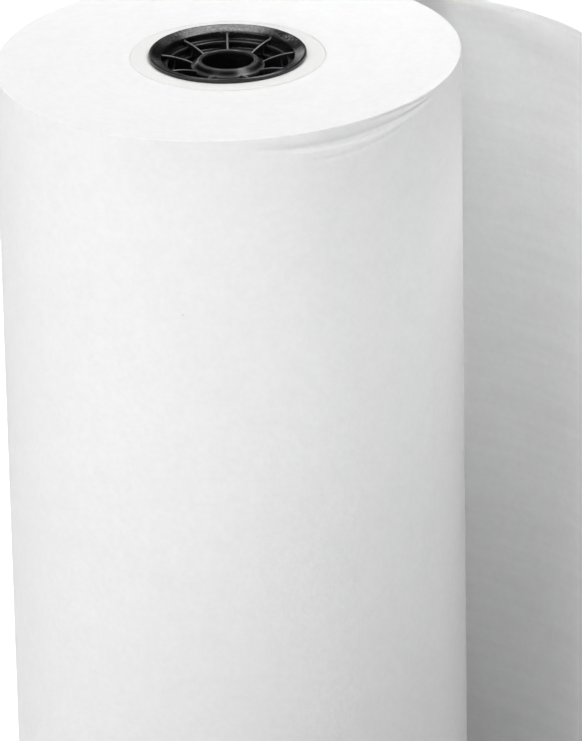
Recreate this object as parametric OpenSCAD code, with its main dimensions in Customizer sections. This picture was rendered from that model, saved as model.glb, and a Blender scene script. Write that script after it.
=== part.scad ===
// A roll of white paper, standing on end, with a plastic plug in each end of its core
// and the free end of the paper hanging off it in a loose curl.
// Millimetres. +Z is up, along the roll's axis. The origin is on that axis, at the level
// of the paper's lower end, which is what the roll stands on.

/* [Paper] */
// Outer diameter of the wound paper
roll_d = 228.6; // [200:0.1:260]
// Width of the paper, which is the height of the roll on end
web_w = 914.4; // [450:0.1:1220]
// Thickness of one layer of the paper
paper_t = 0.12; // [0.1:0.01:0.3]
// Width of the adhesive strip that starts the paper on the core
strip_w = 25; // [12:1:40]
// Thickness of that strip
strip_t = 0.2; // [0.1:0.05:0.5]

/* [Free end of the paper] */
// Direction from the axis in which the paper leaves the roll, in degrees from +X
leave_angle = 75; // [60:1:90]
// Length of paper that is off the roll
free_len = 272; // [180:1:280]
// Radius of the curl where the paper leaves the roll
curl_r_start = 1140; // [800:10:2000]
// Radius of the curl at the end of the stretch in which it tightens
curl_r_end = 116; // [114:1:160]
// Length of the stretch in which the curl tightens
curl_len = 183; // [150:1:220]
// Part of a turn, in degrees, over which the last layer lies loose on the roll
lap_angle = 24; // [10:1:60]
// Gap between the roll and the layer that lies loose on it
lap_gap = 0.3; // [0.3:0.05:0.6]

/* [Core] */
// Bore of the core
core_bore_d = 76.2; // [74:0.1:80]
// Wall of the core
core_wall = 9.5; // [6:0.5:12]

/* [Core plugs] */
// How far the lip of a plug reaches over the end of the core
lip_over = 0.6; // [0.4:0.1:3]
// Height of the lip
lip_h = 2.2; // [1.5:0.1:4]
// Width of the lip, which slopes down towards the middle
lip_w = 6; // [4:0.5:8]
// Length of the sleeve that goes into the core
sleeve_len = 32; // [28:1:45]
// Wall of the sleeve
sleeve_wall = 2; // [1.5:0.1:2.5]
// Gap all round between the sleeve and the core
sleeve_gap = 0.05; // [0.02:0.01:0.1]
// Bore of the hub, for a one-inch rod
hub_bore_d = 25.7; // [25.5:0.1:26.2]
// Wall of the hub at its mouth
hub_wall = 1.6; // [1.2:0.1:2.5]
// Depth of the hub's mouth below the end of the core
hub_depth = 2; // [1:0.5:4]
// Length of the hub
hub_len = 28; // [20:1:32]
// Number of ribs
rib_n = 9; // [6:1:12]
// Thickness of a rib
rib_t = 1.3; // [1:0.1:2]

/* [Hidden] */

$fn = 96;
eps = 0.01;

roll_r = roll_d / 2;
core_r = core_bore_d / 2 + core_wall;
core_len = web_w - lip_h;      // flush with the paper at the top, set in by a lip below

// The plug's own frame: z = 0 is the end of the core and +z points out of it.
lip_r = core_bore_d / 2 + lip_over;
sleeve_r = core_bore_d / 2 - sleeve_gap;
throat_r = lip_r - lip_w;      // where the sloping lip meets the first step
lip_round = 0.5;               // bevel on the lip's outer edge
lip_land = 0.6;                // flat crest of the lip
steps = 3;                     // steps of the web between throat and hub
step_down = 3.6;
step_in = 3.2;
web_t = 1.8;
web_z = -steps * step_down;    // level of the web's floor
hub_r = hub_bore_d / 2;
mouth_r = hub_r + hub_wall;
shoulder_r = mouth_r + 3.6;    // the hub flares from its mouth to this shoulder
shoulder_z = -hub_depth - 2.7;
hub_end_z = -hub_depth - hub_len;
sleeve_lead = 1.5;             // chamfer that leads the sleeve into the core
rib_crown = 0.7;               // rise of a rib's upper edge above a straight line
rib_drop = 0.9;                // depth of a rib's outer end below the end of the core

// Radii of the web's steps, from the throat inwards
function step_r(i) = throat_r - i * step_in;

// Upper outline of the web, moved down by dz and out by dr
function web_line(dz, dr) = [for (i = [0 : steps - 1]) each [
    [step_r(i) + dr, (i == 0 ? 0 : -i * step_down - dz)],
    [step_r(i) + dr, -(i + 1) * step_down - dz]]];

function flipped(list) = [for (i = [len(list) - 1 : -1 : 0]) list[i]];

// Curvature of the free paper, in 1/mm, at distance s from where it leaves the roll
function curl(s) = 1 / curl_r_start
    + (1 / curl_r_end - 1 / curl_r_start) * min(s / curl_len, 1);

// Places along the free paper, and the direction in which it runs at each of them
free_steps = 48;
free_ds = free_len / free_steps;
free_r = roll_r + lap_gap;
free_path = [for (i = 0,
                  h = leave_angle - 90,
                  p = free_r * [cos(leave_angle), sin(leave_angle)];
                  i <= free_steps;
                  m = h - curl((i + 0.5) * free_ds) * free_ds / 2 * 180 / PI,
                  p = p + free_ds * [cos(m), sin(m)],
                  h = h - curl((i + 0.5) * free_ds) * free_ds * 180 / PI,
                  i = i + 1) [p, h]];

// Inner face of the loose layer: an arc on the roll, then the free paper
lap_steps = 6;
inner_face = concat(
    [for (i = [lap_steps : -1 : 1])
        let (a = leave_angle + lap_angle * i / lap_steps)
        [free_r * [cos(a), sin(a)], a - 90]],
    free_path);
function outward(q) = q[0] + paper_t * [-sin(q[1]), cos(q[1])];

// The wound paper, with a shallow groove in its bore for the strip
module paper_roll() color("whitesmoke")
difference() {
    cylinder(r = roll_r, h = web_w);
    translate([0, 0, -eps]) cylinder(r = core_r, h = web_w + 2 * eps);
    strip(0);
}

// The free end of the paper: it hugs the roll, leaves it on a tangent and curls round
module loose_sheet() color("white")
linear_extrude(height = web_w)
    polygon(concat([for (q = inner_face) q[0]],
                   flipped([for (q = inner_face) outward(q)])));

// A band on the outside of the core, strip_w wide; bite sinks it below the core's surface
module strip(bite) {
    strip_angle = strip_w / core_r * 180 / PI;
    margin = 15;
    translate([0, 0, margin])
    rotate([0, 0, -strip_angle / 2])
    rotate_extrude(angle = strip_angle)
        translate([core_r - bite, 0])
            square([strip_t + bite, web_w - 2 * margin]);
}

// The adhesive strip that holds the inner end of the paper to the core
module start_strip() color("wheat") strip(0);

// The spiral-wound paperboard core
module core_tube() color("gainsboro")
translate([0, 0, lip_h])
difference() {
    cylinder(r = core_r, h = core_len);
    translate([0, 0, -eps]) cylinder(d = core_bore_d, h = core_len + 2 * eps);
}

// One rib: its upper edge bows up between the throat and the hub's shoulder
module rib() {
    far = [throat_r, -rib_drop];
    near = [shoulder_r - 1, shoulder_z];
    rib_points = 10;
    upper = [for (i = [0 : rib_points])
        let (t = i / rib_points)
        far + (near - far) * t + [0, rib_crown * 4 * t * (1 - t)]];
    bite = web_t / 2;
    rotate([90, 0, 0])
    linear_extrude(height = rib_t, center = true)
        polygon(concat([[throat_r + bite, -rib_drop]], upper,
                       [[shoulder_r - 1, web_z - bite]],
                       flipped([for (i = [1 : 2 * steps - 1]) web_line(bite, bite)[i]])));
}

// A core plug: lip, sleeve, stepped web, flared hub and ribs
module core_plug() {
    rotate_extrude()
        polygon(concat(
            [[sleeve_r, 0], [lip_r, 0], [lip_r, lip_h - lip_round],
             [lip_r - lip_round, lip_h], [lip_r - lip_round - lip_land, lip_h]],
            web_line(0, 0),
            [[shoulder_r, web_z], [shoulder_r, shoulder_z], [mouth_r, -hub_depth],
             [hub_r, -hub_depth], [hub_r, hub_end_z], [mouth_r + 1, hub_end_z],
             [shoulder_r - web_t, web_z - web_t]],
            flipped([for (i = [1 : 2 * steps - 1]) web_line(web_t, web_t)[i]]),
            [[sleeve_r - sleeve_wall, -step_down - web_t],
             [sleeve_r - sleeve_wall, -sleeve_len],
             [sleeve_r - sleeve_wall / 2, -sleeve_len],
             [sleeve_r, -sleeve_len + sleeve_lead]]));
    for (k = [0 : rib_n - 1])
        rotate([0, 0, 90 + k * 360 / rib_n]) rib();
}

module top_core_plug() color("dimgray")
translate([0, 0, web_w]) core_plug();

module bottom_core_plug() color("dimgray")
translate([0, 0, lip_h]) mirror([0, 0, 1]) core_plug();

paper_roll();
loose_sheet();
start_strip();
core_tube();
top_core_plug();
bottom_core_plug();
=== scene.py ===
# A roll of white paper on end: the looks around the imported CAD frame. Metres, +Z up, the
# roll's axis is the Z axis. Every piece made here is a closed grid of points. The sizes of the
# roll and the core come from the frame; the curl and the plugs' section repeat the CAD's own.
import math

import bpy
from mathutils import Matrix, Vector, noise


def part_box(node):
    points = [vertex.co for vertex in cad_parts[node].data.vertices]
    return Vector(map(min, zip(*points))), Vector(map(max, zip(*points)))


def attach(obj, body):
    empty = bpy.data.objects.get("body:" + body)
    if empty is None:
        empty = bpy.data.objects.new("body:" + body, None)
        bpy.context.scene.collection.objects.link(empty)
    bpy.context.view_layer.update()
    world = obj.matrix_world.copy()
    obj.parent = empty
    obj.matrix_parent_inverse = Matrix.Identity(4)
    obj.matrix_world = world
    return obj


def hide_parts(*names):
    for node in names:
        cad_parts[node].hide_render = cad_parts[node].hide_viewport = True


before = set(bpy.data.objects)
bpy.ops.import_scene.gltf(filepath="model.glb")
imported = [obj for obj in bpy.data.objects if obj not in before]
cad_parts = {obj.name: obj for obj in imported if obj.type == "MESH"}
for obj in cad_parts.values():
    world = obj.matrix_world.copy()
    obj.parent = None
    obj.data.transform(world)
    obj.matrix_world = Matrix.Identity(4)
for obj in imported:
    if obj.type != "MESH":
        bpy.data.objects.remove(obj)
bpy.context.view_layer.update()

MM = 0.001

# Sizes taken from the CAD nodes
ROLL_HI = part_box("paper_roll")[1]
ROLL_R = ROLL_HI.x                    # outer radius of the wound paper
ROLL_H = ROLL_HI.z                    # width of the paper, the roll's height on end
CORE_LO, CORE_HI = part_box("core_tube")
CORE_R = CORE_HI.x                    # outer radius of the core
LIP_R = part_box("top_core_plug")[1].x  # outer radius of a plug's lip
LIP_OVER = 0.6 * MM                   # how far the lip reaches over the core's end
CORE_BORE_R = LIP_R - LIP_OVER

# The free end of the paper, as in the CAD
LEAVE_ANGLE = math.radians(75)        # where the paper leaves the roll
LAP_ANGLE = math.radians(24)          # how far round the roll it lies loose before that
FREE_LEN = 272 * MM
CURL_START, CURL_END = 1 / 1.14, 1 / 0.116    # curvature where it leaves, and later
CURL_LEN = 183 * MM                   # over this length the curl tightens
PAPER_T = 0.12 * MM


# ---------------------------------------------------------------- small helpers

def polar(r, angle, z):
    return (r * math.cos(angle), r * math.sin(angle), z)


def spread(start, end, count):
    """count values after start, the last one being end."""
    return [start + (end - start) * i / count for i in range(1, count + 1)]


def full_turn(count):
    """count angles spaced evenly round a circle, the first one being 0."""
    return [2 * math.pi * k / count for k in range(count)]


def bell(x, width):
    return math.exp(-(x / width) ** 2)


def smoothstep(low, high, x):
    t = min(max((x - low) / (high - low), 0), 1)
    return t * t * (3 - 2 * t)


def closed_grid(name, rows, ends=False):
    """A closed mesh from rows of points, each row a closed ring. The rows join into a ring
    of rings, or, if ends is true, the first and last ring are each filled by strips of
    quads across the ring."""
    count, width = len(rows), len(rows[0])
    faces = []
    for i in range(count - 1 if ends else count):
        here, there = i * width, (i + 1) % count * width
        for j in range(width):
            k = (j + 1) % width
            faces.append((here + j, here + k, there + k, there + j))
    if ends:
        for start, turn in ((0, -1), ((count - 1) * width, 1)):
            for j in range(width // 2 - 1):
                far = start + width - 1 - j
                faces.append((start + j, start + j + 1, far - 1, far)[::turn])
    mesh = bpy.data.meshes.new(name)
    mesh.from_pydata([tuple(p) for row in rows for p in row], [], faces)
    mesh.polygons.foreach_set("use_smooth", [True] * len(mesh.polygons))
    mesh.update()
    piece = bpy.data.objects.new(name, mesh)
    bpy.context.scene.collection.objects.link(piece)
    return piece


def turned_ring(outline, angles, shape=lambda r, z, angle: (r, z)):
    """Rows for closed_grid: a closed outline of (r, z) at each angle round the Z axis,
    after shape has moved its points."""
    rows = []
    for angle in angles:
        row = []
        for r, z in outline:
            r, z = shape(r, z, angle)
            row.append(polar(r, angle, z))
        rows.append(row)
    return rows


def rounded(corners, segments=4):
    """An outline of (r, z) points from corners (r, z, radius), each corner an arc."""
    outline = []
    count = len(corners)
    for i, (x, z, radius) in enumerate(corners):
        here = Vector((x, z))
        if radius == 0:
            outline.append((x, z))
            continue
        before = (Vector(corners[i - 1][:2]) - here).normalized()
        after = (Vector(corners[(i + 1) % count][:2]) - here).normalized()
        half = before.angle(after) / 2
        cut = radius / math.tan(half)
        centre = here + (before + after).normalized() * (radius / math.sin(half))
        start = here + before * cut - centre
        end = here + after * cut - centre
        sweep = start.angle_signed(end)
        for k in range(segments + 1):
            spoke = start.copy()
            spoke.rotate(Matrix.Rotation(-sweep * k / segments, 2))
            outline.append(tuple(centre + spoke))
    return outline


# ---------------------------------------------------------------- materials

class Graph:
    """A material and a short way to add and link its nodes."""

    def __init__(self, name):
        self.material = bpy.data.materials.new(name)
        self.material.use_nodes = True
        self.tree = self.material.node_tree
        self.shader = self.tree.nodes["Principled BSDF"]

    def add(self, kind, inputs=None, **settings):
        node = self.tree.nodes.new(kind)
        for key, value in settings.items():
            setattr(node, key, value)
        for key, value in (inputs or {}).items():
            self.put(value, node.inputs[key])
        return node

    def put(self, value, socket):
        if isinstance(value, bpy.types.NodeSocket):
            self.tree.links.new(value, socket)
        else:
            socket.default_value = value

    def math(self, operation, a, b=0.0, clamp=False):
        node = self.add("ShaderNodeMath", {0: a, 1: b}, operation=operation, use_clamp=clamp)
        return node.outputs[0]

    def place(self, scale=(1, 1, 1)):
        """The piece's own coordinates, in metres, stretched by scale."""
        coords = self.add("ShaderNodeTexCoord").outputs["Object"]
        return self.add("ShaderNodeMapping", {"Vector": coords, "Scale": scale}).outputs[0]

    def from_axis(self):
        """Distance from the Z axis, in metres."""
        split = self.add("ShaderNodeSeparateXYZ", {"Vector": self.place()})
        x, y = split.outputs["X"], split.outputs["Y"]
        return self.math("SQRT", self.math("ADD", self.math("MULTIPLY", x, x),
                                           self.math("MULTIPLY", y, y)))

    def noise(self, where, scale, detail=4.0, roughness=0.55):
        node = self.add("ShaderNodeTexNoise", {"Vector": where, "Scale": scale,
                                               "Detail": detail, "Roughness": roughness})
        return node.outputs["Fac"]

    def ramp(self, value, low, high, start, end):
        """value between low and high, stretched to run from start to end."""
        node = self.add("ShaderNodeMapRange", {"Value": value, "From Min": low, "From Max": high,
                                               "To Min": start, "To Max": end})
        return node.outputs[0]

    def tint(self, factor, dark, light):
        node = self.add("ShaderNodeMix", {"Factor": factor}, data_type="RGBA")
        self.put((*dark, 1), node.inputs[6])
        self.put((*light, 1), node.inputs[7])
        return node.outputs[2]

    def multiply(self, a, b):
        node = self.add("ShaderNodeMix", {"Factor": 1.0}, data_type="RGBA", blend_type="MULTIPLY")
        self.put(a, node.inputs[6])
        self.put(b, node.inputs[7])
        return node.outputs[2]

    def bump(self, height, distance, strength=1.0, under=None):
        inputs = {"Height": height, "Distance": distance, "Strength": strength}
        if under is not None:
            inputs["Normal"] = under
        return self.add("ShaderNodeBump", inputs).outputs["Normal"]


def paper_graph(name, tone=0.88):
    """White uncoated paper: a cloudy formation, a slight tooth whose shading is partly painted into
    the colour, fine fibres, a few specks.
    """
    g = Graph(name)
    where = g.place()
    cloud = g.noise(where, 90, detail=5)
    broad = g.noise(where, 9, detail=2)
    tooth = g.noise(where, 300, detail=4, roughness=0.6)
    fibre = g.noise(where, 1500, detail=3, roughness=0.7)
    cloudy = g.math("ADD", g.math("MULTIPLY", cloud, 0.7), g.math("MULTIPLY", broad, 0.3))
    colour = g.tint(g.ramp(cloudy, 0.38, 0.62, 0, 1), (tone * 0.982,) * 3, (tone,) * 3)
    # The tooth's tone in the colour is partly the paper's own tone and partly painted shade of the
    # tooth's relief.
    tooth_tone_and_shade = g.tint(g.ramp(tooth, 0.35, 0.65, 0, 1), (0.985,) * 3, (1.012,) * 3)
    colour = g.multiply(colour, tooth_tone_and_shade)
    specks = g.add("ShaderNodeTexVoronoi", {"Vector": where, "Scale": 42.0})
    speck = g.math("LESS_THAN", specks.outputs["Distance"], 0.018)
    rare = g.math("GREATER_THAN", g.noise(where, 23, detail=0), 0.6)
    colour = g.multiply(colour, g.tint(g.math("MULTIPLY", speck, rare), (1,) * 3, (0.8,) * 3))
    normal = g.bump(fibre, 0.02 * MM)
    normal = g.bump(tooth, 0.2 * MM, under=normal)
    normal = g.bump(cloud, 0.15 * MM, under=normal)
    g.put(0.82, g.shader.inputs["Roughness"])
    g.put(0.25, g.shader.inputs["Specular IOR Level"])
    return g, where, colour, normal


def sheet_paper():
    """The free end of the paper, with fine cockles that run along the paper and fade out
    towards the roll; the cockles' shading is also painted into the colour as painted shade."""
    g, where, colour, normal = paper_graph("paper_sheet")
    outward = g.add("ShaderNodeSeparateXYZ", {"Vector": where}).outputs["X"]
    cockle = g.math("SUBTRACT", g.noise(g.place((0.07, 0.07, 1)), 190, detail=3), 0.5)
    cockle = g.math("MULTIPLY", cockle, g.ramp(outward, 0.02, 0.14, 0, 1))
    # Painted shade: the cockles' light and dark shading painted into the colour as faint streaks.
    cockle_shade = g.tint(g.ramp(cockle, -0.15, 0.15, 0, 1), (0.98,) * 3, (1.012,) * 3)
    g.put(g.multiply(colour, cockle_shade), g.shader.inputs["Base Color"])
    g.put(g.bump(cockle, 0.35 * MM, under=normal), g.shader.inputs["Normal"])
    return g.material


def roll_paper():
    """The same paper on the roll. On the roll's ends, the edges of the layers show as fine
    rings; how far a point belongs to an end comes from which way the surface faces."""
    g, where, colour, normal = paper_graph("paper_wound")
    split = g.add("ShaderNodeSeparateXYZ", {"Vector": where})
    x, y = split.outputs["X"], split.outputs["Y"]
    radius = g.from_axis()
    facing = g.add("ShaderNodeSeparateXYZ",
                   {"Vector": g.add("ShaderNodeTexCoord").outputs["Normal"]}).outputs["Z"]
    on_end = g.ramp(g.math("ABSOLUTE", facing), 0.6, 0.9, 0, 1)
    slow = g.add("ShaderNodeCombineXYZ", {0: radius, 1: g.math("MULTIPLY", x, 0.03),
                                          2: g.math("MULTIPLY", y, 0.03)}).outputs[0]
    fine = g.noise(slow, 2600, detail=4, roughness=0.75)
    coarse = g.noise(slow, 320, detail=3)
    rings = g.math("ADD", g.math("MULTIPLY", fine, 0.6), g.math("MULTIPLY", coarse, 0.4))
    shade = g.tint(g.ramp(rings, 0.35, 0.65, 0, 1), (0.975,) * 3, (1,) * 3)
    end_colour = g.multiply(colour, shade)
    mixed = g.add("ShaderNodeMix", {"Factor": on_end}, data_type="RGBA")
    g.put(colour, mixed.inputs[6])
    g.put(end_colour, mixed.inputs[7])
    g.put(mixed.outputs[2], g.shader.inputs["Base Color"])
    ring_height = g.math("MULTIPLY", rings, on_end)
    g.put(g.bump(ring_height, 0.12 * MM, under=normal), g.shader.inputs["Normal"])
    return g.material


def core_board():
    """Pale paperboard: plies seen as rings on the ends, and the seam of the spiral winding."""
    ply_t = 0.8 * MM
    winding_pitch = 140 * MM
    g = Graph("core_board")
    split = g.add("ShaderNodeSeparateXYZ", {"Vector": g.place()})
    x, y, z = (split.outputs[k] for k in "XYZ")
    radius = g.from_axis()
    ply = g.math("FRACT", g.math("DIVIDE", radius, ply_t))
    ply_line = g.ramp(g.math("ABSOLUTE", g.math("SUBTRACT", ply, 0.5)), 0.38, 0.5, 0, 1)
    facing = g.add("ShaderNodeSeparateXYZ",
                   {"Vector": g.add("ShaderNodeTexCoord").outputs["Normal"]}).outputs["Z"]
    on_end = g.ramp(g.math("ABSOLUTE", facing), 0.6, 0.9, 0, 1)
    turn = g.math("DIVIDE", g.math("ARCTAN2", y, x), 2 * math.pi)
    winding = g.math("FRACT", g.math("ADD", turn, g.math("DIVIDE", z, winding_pitch)))
    seam = g.ramp(g.math("ABSOLUTE", g.math("SUBTRACT", winding, 0.5)), 0.492, 0.5, 0, 1)
    side_seam = g.math("MULTIPLY", seam, g.math("SUBTRACT", 1.0, on_end))
    fibres = g.noise(g.place((1, 1, 0.4)), 700, detail=5, roughness=0.7)
    lines = g.math("MAXIMUM", g.math("MULTIPLY", ply_line, g.math("MULTIPLY", on_end, 0.5)),
                   side_seam)
    base = g.tint(g.ramp(fibres, 0.3, 0.7, 0, 1), (0.81, 0.808, 0.8), (0.87, 0.868, 0.86))
    colour = g.multiply(base, g.tint(lines, (1,) * 3, (0.84, 0.835, 0.82)))
    g.put(colour, g.shader.inputs["Base Color"])
    height = g.math("SUBTRACT", fibres, g.math("MULTIPLY", lines, 0.8))
    g.put(g.bump(height, 0.15 * MM), g.shader.inputs["Normal"])
    g.put(0.9, g.shader.inputs["Roughness"])
    g.put(0.2, g.shader.inputs["Specular IOR Level"])
    return g.material


def plug_plastic():
    """Black moulded plastic: satin, its raised edges painted paler as a painted highlight, and dust
    on one side of the lip, that side also painted lighter as a painted highlight."""
    lit_side_x, lit_side_y = 0.35, 0.94       # the lip's lit side: dust there, painted lighter as a painted highlight
    g = Graph("plug_plastic")
    where = g.place()
    radius = g.from_axis()
    on_lip = g.math("MULTIPLY", g.ramp(radius, 33 * MM, 34.5 * MM, 0.1, 1),
                    g.ramp(radius, 37.5 * MM, 38.3 * MM, 1, 0.25))
    grain = g.noise(where, 1800, detail=3, roughness=0.6)
    patches = g.noise(where, 75, detail=4, roughness=0.6)
    dust = g.noise(where, 700, detail=5, roughness=0.75)
    dust_and_sheen = g.math("MULTIPLY", g.ramp(patches, 0.4, 0.62, 0.2, 1), g.ramp(dust, 0.42, 0.68, 0, 1),
                   clamp=True)
    # The lip's dust fades out towards its left and near side: a painted highlight over the dust, on
    # the side the light falls on.
    split = g.add("ShaderNodeSeparateXYZ", {"Vector": where})
    toward_light = g.math("ADD", g.math("MULTIPLY", split.outputs["X"], lit_side_x),
                      g.math("MULTIPLY", split.outputs["Y"], lit_side_y))
    on_lip = g.math("MULTIPLY", on_lip, g.ramp(toward_light, -12 * MM, 34 * MM, 0.03, 1))
    dust_and_sheen = g.math("MULTIPLY", dust_and_sheen, on_lip)
    # Raised edges and rib crests painted paler: a painted highlight, broken up by the dust noise.
    edge_highlight = g.add("ShaderNodeAttribute", attribute_name="edge_highlight").outputs["Fac"]
    edge_highlight = g.math("MULTIPLY", edge_highlight, g.ramp(dust, 0.3, 0.6, 0.45, 0.75))
    colour = g.tint(g.math("MAXIMUM", dust_and_sheen, edge_highlight), (0.0045, 0.0045, 0.0048), (0.2, 0.2, 0.203))
    g.put(colour, g.shader.inputs["Base Color"])
    g.put(g.ramp(patches, 0.3, 0.7, 0.18, 0.26), g.shader.inputs["Roughness"])
    normal = g.bump(grain, 0.02 * MM)
    g.put(g.bump(dust, 0.03 * MM, strength=0.5, under=normal), g.shader.inputs["Normal"])
    return g.material


def strip_tape():
    g = Graph("strip_tape")
    fibres = g.noise(g.place(), 900, detail=4)
    g.put(g.tint(fibres, (0.7, 0.64, 0.48), (0.84, 0.79, 0.64)), g.shader.inputs["Base Color"])
    g.put(g.bump(fibres, 0.05 * MM), g.shader.inputs["Normal"])
    g.put(0.6, g.shader.inputs["Roughness"])
    return g.material


# ---------------------------------------------------------------- wound paper

SHEET_GAP = 0.3 * MM            # the outer layer is this far inside ROLL_R, and the loose
                                # paper leaves the roll this far outside it
SKIN_R = ROLL_R - SHEET_GAP     # mean radius of the outer layer
RIM_ROUND = 0.45 * MM
END_SLIP = 2.9 * MM             # how far the outer layers have slipped at the upper end,
                                # up at +X and down at -X, and less so towards the core
SLIP_DEPTH = 90 * MM            # the slip fades out this far below the rim
FOLD_ZONE = 26 * MM             # the skin is finely divided this far below the rim
FOOT_ZONE = 12 * MM             # and in steps shorter than the middle's above the lower end

# Folds pressed into the outer layers just under the rim, fanning out from one place. For each:
# azimuth of its two ends in degrees from +X, depth under the rim at its start, middle and end,
# how deep and how wide it is (mm).
FOLDS = [
    ((-31, -60), (2.4, 1.8, 1.6), 0.5, 0.7),
    ((-29, -93), (3.2, 7.6, 4.8), 1.1, 1.6),
    ((-33, -80), (4.6, 9.6, 7.4), 0.5, 0.8),
    ((-38, -80), (7.6, 15.0, 13.2), 0.45, 1.2),
]


def fold_relief(angle, depth):
    """Radial dent of the folds at an azimuth in radians and a depth under the rim."""
    degrees = math.degrees(math.remainder(angle, 2 * math.pi))
    dent = 0
    for (start, end), (d0, dm, d1), deep, wide in FOLDS:
        t = (degrees - start) / (end - start)
        if not 0 < t < 1:
            continue
        path = d0 * (1 - t) ** 2 + (4 * dm - d0 - d1) * t * (1 - t) + d1 * t ** 2
        fade = smoothstep(0, 0.1, t) * smoothstep(0, 0.45, 1 - t)
        opened = wide * (0.45 + 0.55 * smoothstep(0, 0.45, t))
        dent -= deep * fade * bell(depth / MM - path, opened)
    return dent * MM


def skin_relief(angle, z):
    """How far the outer layer stands off its mean radius."""
    c, s = math.cos(angle), math.sin(angle)
    slow = noise.noise((c * 1.5, s * 1.5, z * 3)) * 0.14 * MM
    fine = noise.noise((c * 16 + 5, s * 16, z * 9)) * 0.03 * MM
    return slow + fine + fold_relief(angle, ROLL_H - z)


def end_relief(r, angle):
    """How far the layers' edges stand off the plane of the roll's upper end."""
    c, s = math.cos(angle), math.sin(angle)
    rings = noise.noise((r * 900, 1.7, 0)) * 0.05 + noise.noise((r * 160, 1.7, 4)) * 0.12
    wander = noise.noise((r * 60, c * 1.2, s * 1.2)) * 0.16
    return (rings + wander) * MM * smoothstep(CORE_R, CORE_R + 4 * MM, r)


def wound_paper():
    """The roll without its loose end: upper end, rounded rim, skin, foot and lower end."""
    top_r = spread(CORE_R, SKIN_R - RIM_ROUND, 62)
    low_r = spread(CORE_R, SKIN_R - RIM_ROUND, 22)
    near_rim = spread(RIM_ROUND, FOLD_ZONE, 52)
    far = spread(FOLD_ZONE, ROLL_H - FOOT_ZONE, 38)
    foot = spread(ROLL_H - FOOT_ZONE, ROLL_H - RIM_ROUND, 4)
    arc = [(k + 1) * math.pi / 10 for k in range(4)]
    outline = [(CORE_R, 0), (CORE_R, ROLL_H / 2), (CORE_R, ROLL_H)]
    outline += [(r, ROLL_H) for r in top_r]
    outline += [(SKIN_R - RIM_ROUND * (1 - math.sin(a)), ROLL_H - RIM_ROUND * (1 - math.cos(a)))
                for a in arc]
    outline += [(SKIN_R, ROLL_H - d) for d in [RIM_ROUND] + near_rim + far + foot]
    outline += [(SKIN_R - RIM_ROUND * (1 - math.cos(a)), RIM_ROUND * (1 - math.sin(a)))
                for a in arc]
    outline += [(r, 0) for r in low_r[::-1]]

    def shape(r, z, angle):
        on_side = smoothstep(SKIN_R - 2 * MM, SKIN_R - RIM_ROUND, r)
        on_top = smoothstep(ROLL_H - 1.5 * MM, ROLL_H - RIM_ROUND, z)
        slipped = END_SLIP * (r - CORE_R) / (SKIN_R - CORE_R) * math.cos(angle)
        slipped *= smoothstep(ROLL_H - SLIP_DEPTH, ROLL_H, z)
        raised = end_relief(r, angle) * on_top + slipped
        return r + skin_relief(angle, z) * on_side, z + raised

    return closed_grid("wound_paper", turned_ring(outline, full_turn(500), shape))


# ---------------------------------------------------------------- loose sheet

def curl_path(step_count, lap_count):
    """Places and headings down the middle of the loose paper, seen from above: a lap on the
    roll, on which it rises from under the deepest dents of the outer layer, then the free
    curl."""
    path = []
    rise = 1.1 * MM
    for i in range(lap_count):
        t = i / lap_count
        angle = LEAVE_ANGLE + LAP_ANGLE * (1 - t)
        r = ROLL_R + SHEET_GAP - rise * (1 - smoothstep(0, 1, t))
        path.append((Vector(polar(r, angle, 0)[:2]), angle - math.pi / 2, 0.0))
    heading = LEAVE_ANGLE - math.pi / 2
    place = Vector(polar(ROLL_R + SHEET_GAP, LEAVE_ANGLE, 0)[:2])
    step = FREE_LEN / step_count
    for i in range(step_count + 1):
        path.append((place.copy(), heading, i * step))
        s = (i + 0.5) * step
        curl = CURL_START + (CURL_END - CURL_START) * min(s / CURL_LEN, 1)
        middle = heading - curl * step / 2
        place += step * Vector((math.cos(middle), math.sin(middle)))
        heading -= curl * step
    return path


def sheet_relief(s, z):
    """How far the free paper stands off its curl, s along it and z up it."""
    free = smoothstep(10 * MM, 90 * MM, s)
    wave = noise.noise((s * 7, z * 3.2, 2.6)) * 1.0
    cockle = noise.noise((s * 26 + z * 10, z * 24, 9.4)) * 0.10
    return (wave + cockle) * free * MM


def loose_paper():
    """The free end of the paper: the curl's path at every height, given its thickness."""
    path = curl_path(step_count=90, lap_count=14)
    heights = [0] + spread(0, ROLL_H, 190)
    rows = []
    for z in heights:
        inner, outer = [], []
        for place, heading, s in path:
            out = Vector((-math.sin(heading), math.cos(heading)))
            face = place + out * sheet_relief(s, z)
            inner.append((*face, z))
            outer.append((*(face + out * PAPER_T), z))
        rows.append(inner + outer[::-1])
    return closed_grid("loose_paper", rows, ends=True)


# ---------------------------------------------------------------- core

def core():
    """The board tube, its corners softened and its cut ends a little rough."""
    bore, low, high = CORE_BORE_R, CORE_LO.z, CORE_HI.z
    soft = 0.3 * MM
    corners = [(bore, low, soft), (bore, high, soft), (CORE_R, high, soft), (CORE_R, low, soft)]
    outline = rounded(corners)

    def shape(r, z, angle):
        at_end = max(smoothstep(high - 3 * MM, high, z), smoothstep(low + 3 * MM, low, z))
        rough = noise.noise((math.cos(angle) * 9, math.sin(angle) * 9, r * 300)) * 0.08 * MM
        return r, z - abs(rough) * at_end * (1 if z > ROLL_H / 2 else -1)

    return closed_grid("core_board_tube", turned_ring(outline, full_turn(240), shape))


# ---------------------------------------------------------------- core plugs

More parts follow.
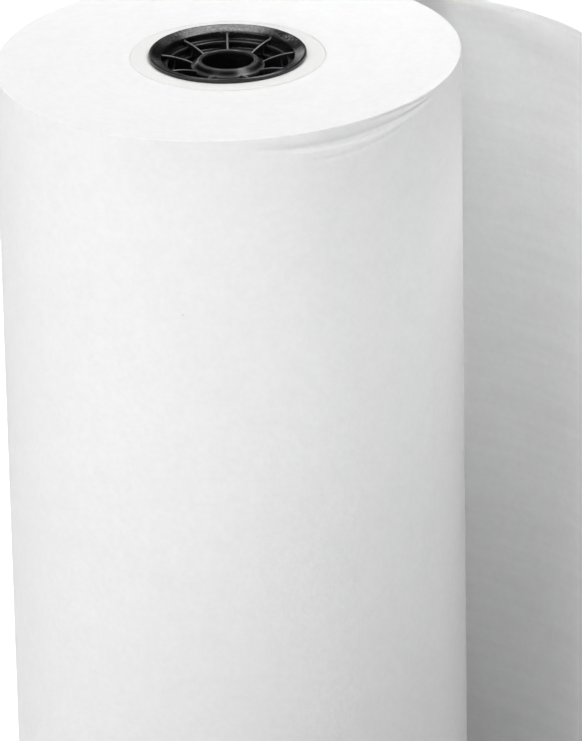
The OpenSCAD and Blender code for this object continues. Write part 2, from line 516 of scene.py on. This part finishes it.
# A plug in its own frame, in mm: z = 0 is the end of the core and +z points out of it.
# The rounded outline of its section, each corner (r, z, rounding), goes up the bore, over
# the hub and the stepped web to the lip, down the sleeve and back under the web.
HUB_CORNERS = [(15.45, -30, 0.4), (12.85, -30, 0.4), (12.85, -2, 0.4), (14.45, -2, 0.5)]
SHOULDER = (18.05, -4.7)      # the ribs cover the section from here
THROAT = (32.7, 0)            # to here
WEB_CORNERS = [(*SHOULDER, 0.7), (18.05, -10.8, 0.6), (26.3, -10.8, 0.6), (26.3, -7.2, 0.45),
               (29.5, -7.2, 0.6), (29.5, -3.6, 0.45), (32.7, -3.6, 0.6), (*THROAT, 0.6)]
LIP_CORNERS = [(37.6, 2.2, 0.35), (38.2, 2.2, 0.3), (38.7, 1.7, 0.25), (38.7, 0, 0.1),
               (38.05, 0, 0), (38.05, -30.5, 0.5), (37.05, -32, 0.3), (36.05, -32, 0.3)]
UNDER_CORNERS = [(36.05, -5.4, 0.4), (31.3, -5.4, 0.3), (31.3, -9, 0.4), (28.1, -9, 0.3),
                 (28.1, -12.6, 0.4), (16.25, -12.6, 0.5)]
RIB_COUNT = 9
RIB_EDGE = ((17.4, -4.3), (32.5, -1.0))       # inner and outer end of a rib's upper edge
RIB_CROWN = 0.7                               # how far that edge bulges up at its middle
# Edges painted paler, a painted highlight in place of the light they catch: (r, z, how much)
HIGHLIGHT_EDGES = [(12.85, -2, 0.5), (14.45, -2, 0.6), (*SHOULDER, 0.8), (26.3, -7.2, 0.35),
                (29.5, -3.6, 0.35), (37.9, 2.2, 0.3)]
# Across a rib: distance from its middle and how far its surface is below its crest, the
# outermost pair being its foot, where the web goes on
RIB_SECTION = [(-0.72, None), (-0.65, 0.65), (-0.58, 0.36), (-0.42, 0.15), (-0.22, 0.03), (0, 0),
               (0.22, 0.03), (0.42, 0.15), (0.58, 0.36), (0.65, 0.65), (0.72, None)]


def resample(points, longest):
    """The same line with no stretch longer than longest."""
    line = [points[0]]
    for (x0, z0), (x1, z1) in zip(points, points[1:]):
        parts = max(1, math.ceil(math.hypot(x1 - x0, z1 - z0) / longest))
        line += [(x0 + (x1 - x0) * k / parts, z0 + (z1 - z0) * k / parts)
                 for k in range(1, parts + 1)]
    return line


def plug_outline():
    """The section's outline, and the first and last places in it of the part ribs cover."""
    corners = HUB_CORNERS + WEB_CORNERS + LIP_CORNERS + UNDER_CORNERS
    outline = rounded(corners)
    outline = resample(outline + outline[:1], longest=1.6)[:-1]
    from_shoulder = [math.dist(p, SHOULDER) for p in outline]
    from_throat = [math.dist(p, THROAT) for p in outline]
    return outline, from_shoulder.index(min(from_shoulder)), from_throat.index(min(from_throat))


def rib_line(outline, first, last):
    """The upper edge of a rib, with as many places as the outline has from first to last."""
    (r0, z0), (r1, z1) = RIB_EDGE
    steps = [math.dist(outline[i], outline[i + 1]) for i in range(first, last)]
    line, gone = [], 0
    for step in [0] + steps:
        gone += step / sum(steps)
        t = min(gone, 1)
        line.append((r0 + (r1 - r0) * t, z0 + (z1 - z0) * t + RIB_CROWN * 4 * t * (1 - t)))
    return line


def highlight_at(r, z):
    """How much the plastic is painted paler at a point of the section, a painted highlight: more so
    near the raised edges.
    """
    return max(much * bell(math.dist((r, z), edge), width=0.6) for *edge, much in HIGHLIGHT_EDGES)


def plug_rows(between=14):
    """Rows of (r, angle, z, paler) round a plug, the angle of each point being set so that
    the sides of the ribs are parallel, and paler being how much the plastic is painted paler there,
    a painted highlight."""
    outline, first, last = plug_outline()
    crest = rib_line(outline, first, last)
    pitch = 2 * math.pi / RIB_COUNT
    foot = RIB_SECTION[-1][0]
    rows = []
    for k in range(RIB_COUNT):
        middle = math.pi / 2 + k * pitch
        for offset, below in RIB_SECTION:
            line = [(r, z, highlight_at(r, z)) for r, z in outline]
            if below is not None:
                # A rib's crest is painted paler towards its top, a painted highlight.
                line[first:last + 1] = [(r, z - below, bell(below, 0.3)) for r, z in crest]
            rows.append([(r, middle + math.asin(offset / r), z, w) for r, z, w in line])
        for j in range(1, between):
            t = j / between
            rows.append([(r, middle + math.asin(foot / r) * (1 - 2 * t) + pitch * t, z,
                          highlight_at(r, z)) for r, z in outline])
    return rows


def lip_relief(r, angle, z):
    """Small unevenness of the lip's crest and throat, in mm."""
    c, s = math.cos(angle), math.sin(angle)
    lip = smoothstep(31, 36, r) * smoothstep(-3, 0, z)
    return lip * (noise.noise((c * 3, s * 3, 7)) * 0.12 + noise.noise((c * 14, s * 14, r)) * 0.05)


def core_plug(name, end_z, out):
    """A plug in the core's end at end_z, its lip pointing out (1 up, -1 down)."""
    rows, edge_highlight = [], []
    for row in plug_rows()[::out]:
        rows.append([polar(r * MM, angle, end_z + out * (z + lip_relief(r, angle, z)) * MM)
                     for r, angle, z, edge_light in row])
        edge_highlight += [edge_light for r, angle, z, edge_light in row]
    piece = closed_grid(name, rows)
    piece.data.set_sharp_from_angle(angle=math.radians(38))
    # The painted highlight of the raised edges goes to the shader as a point attribute.
    piece.data.attributes.new("edge_highlight", "FLOAT", "POINT").data.foreach_set("value", edge_highlight)
    return piece


# ---------------------------------------------------------------- camera, light, floor

def camera():
    """A long lens from the front, above the roll's top, as in a studio product shot."""
    data = bpy.data.cameras.new("camera")
    eye = bpy.data.objects.new("camera", data)
    bpy.context.scene.collection.objects.link(eye)
    distance = 30 * ROLL_R
    rise = math.radians(20.65)
    turn, dip, tilt = math.radians(0.50), math.radians(23.23), math.radians(-1.08)
    eye.location = (0, -distance * math.cos(rise), ROLL_H + distance * math.sin(rise))
    ahead = Vector((math.sin(turn) * math.cos(dip), math.cos(turn) * math.cos(dip), -math.sin(dip)))
    right = Vector((math.cos(turn), -math.sin(turn), 0))
    above = right.cross(ahead)
    right_t = right * math.cos(tilt) + above * math.sin(tilt)
    above_t = above * math.cos(tilt) - right * math.sin(tilt)
    eye.rotation_mode = "QUATERNION"
    axes = Matrix((right_t, above_t, -ahead)).transposed()
    eye.rotation_quaternion = axes.to_quaternion()
    data.lens = 341
    data.sensor_width = 36
    data.clip_end = 50
    bpy.context.scene.camera = eye


def softbox(name, place, target, size, power, beam=180):
    data = bpy.data.lights.new(name, "AREA")
    data.shape = "RECTANGLE"
    data.size, data.size_y = size
    data.energy = power
    data.spread = math.radians(beam)
    lamp = bpy.data.objects.new(name, data)
    bpy.context.scene.collection.objects.link(lamp)
    lamp.location = place
    lamp.rotation_mode = "QUATERNION"
    lamp.rotation_quaternion = (Vector(target) - Vector(place)).to_track_quat("-Z", "Y")


def lights():
    """Soft light from both sides, above and behind, a narrow beam on the loose sheet, and a
    light of its own for the floor behind the roll. Places in metres, powers in watts."""
    middle = (0, 0, 0.6)
    top = (0, 0, 0.9)
    softbox("light_left", (-2.17, -1.82, 1.2), middle, (1.5, 1.5), 33.9)
    softbox("light_left_high", (-1.11, -0.93, 3.11), middle, (1.5, 1.5), 18.6)
    softbox("light_right_high", (1.43, -0.25, 3.11), middle, (1.5, 1.5), 36.2)
    softbox("light_over_end", (0.1, 0.52, 2), top, (0.9, 0.4), 6.5)
    softbox("light_near_left", (-0.48, -0.82, 1.25), top, (0.5, 0.5), 0.95)
    softbox("light_on_sheet", (0.3, -2.3, 1), (0.18, 0.03, 0.8), (0.4, 0.4), 0.207, beam=14)
    softbox("light_back_left", (-0.9, 2.7, 1.5), top, (1.4, 0.4), 3)
    softbox("light_floor", (0, 1.7, 1.5), (0, 1.5, 0), (2.6, 1.8), 39.9, beam=100)


def surroundings():
    """A white horizon that darkens upwards, and a pale floor that glows more the farther off."""
    world = bpy.data.worlds.new("studio")
    world.use_nodes = True
    tree = world.node_tree
    upward = tree.nodes.new("ShaderNodeSeparateXYZ")
    tree.links.new(tree.nodes.new("ShaderNodeTexCoord").outputs["Generated"], upward.inputs[0])
    glow = tree.nodes.new("ShaderNodeMapRange")
    glow.inputs["From Max"].default_value = 0.14
    glow.inputs["To Min"].default_value = 0.9
    glow.inputs["To Max"].default_value = 0
    tree.links.new(upward.outputs["Z"], glow.inputs["Value"])
    tree.nodes["Background"].inputs["Color"].default_value = (1, 1, 1, 1)
    tree.links.new(glow.outputs[0], tree.nodes["Background"].inputs["Strength"])
    bpy.context.scene.world = world
    bpy.context.scene.view_settings.view_transform = "Standard"
    g = Graph("floor")
    g.put(g.tint(g.noise(g.place(), 30), (0.69,) * 3, (0.71,) * 3), g.shader.inputs["Base Color"])
    g.put(0.9, g.shader.inputs["Roughness"])
    g.put((1, 1, 1, 1), g.shader.inputs["Emission Color"])
    g.put(g.ramp(g.from_axis(), low=1, high=14, start=0.05, end=0.88),
          g.shader.inputs["Emission Strength"])
    bpy.ops.mesh.primitive_plane_add(size=40)
    floor = bpy.context.object
    floor.name = "floor"
    floor.data.materials.append(g.material)


# ---------------------------------------------------------------- put together

def dress(piece, material, body, node):
    piece.data.materials.append(material)
    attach(piece, body)
    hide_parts(node)
    return piece


camera()
lights()
surroundings()
dress(wound_paper(), roll_paper(), "roll", "paper_roll")
sheet = dress(loose_paper(), sheet_paper(), "sheet", "loose_sheet")
dress(core(), core_board(), "roll", "core_tube")
plastic = plug_plastic()
dress(core_plug("top_plug_moulding", CORE_HI.z, 1), plastic, "top_plug",
      "top_core_plug")
dress(core_plug("bottom_plug_moulding", CORE_LO.z, -1), plastic, "bottom_plug",
      "bottom_core_plug")
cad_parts["start_strip"].data.materials.clear()
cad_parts["start_strip"].data.materials.append(strip_tape())
